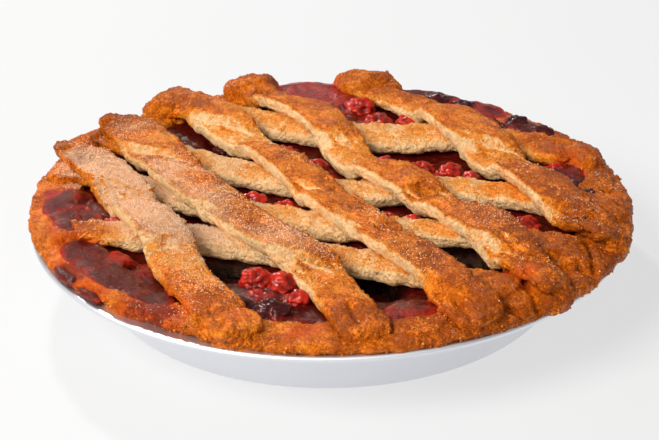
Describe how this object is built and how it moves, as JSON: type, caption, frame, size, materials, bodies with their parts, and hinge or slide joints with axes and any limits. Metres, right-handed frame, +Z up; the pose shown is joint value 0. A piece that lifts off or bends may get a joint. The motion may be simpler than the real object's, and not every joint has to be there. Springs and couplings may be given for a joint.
{
  "type": "cherry pie",
  "caption": "Whole round fruit pie with a glazed lattice of rounded pastry strips over a glossy red filling, baked in its own shallow metal tin with a rolled edge",
  "frame": {"origin": "centre of the tin's flat base, on the surface the pie rests on", "axes": "+Z up; +X to the right and +Y away for someone who sees the strips laid on top run from the far left to the near right"},
  "size_m": [0.2408, 0.2408, 0.0437],
  "materials": {
    "tin": "smooth pressed sheet",
    "pastry": "baked pastry, egg washed and sugared",
    "filling": "glossy cooked fruit in its juice"
  },
  "bodies": {
    "root": {"pie_tin": "tin", "pastry_case": "pastry", "filling": "filling", "cross_strip_1": "pastry", "cross_strip_2": "pastry", "cross_strip_3": "pastry", "cross_strip_4": "pastry", "over_strip_1": "pastry", "over_strip_2": "pastry", "over_strip_3": "pastry", "over_strip_4": "pastry", "over_strip_5": "pastry"}
  },
  "joints": []
}
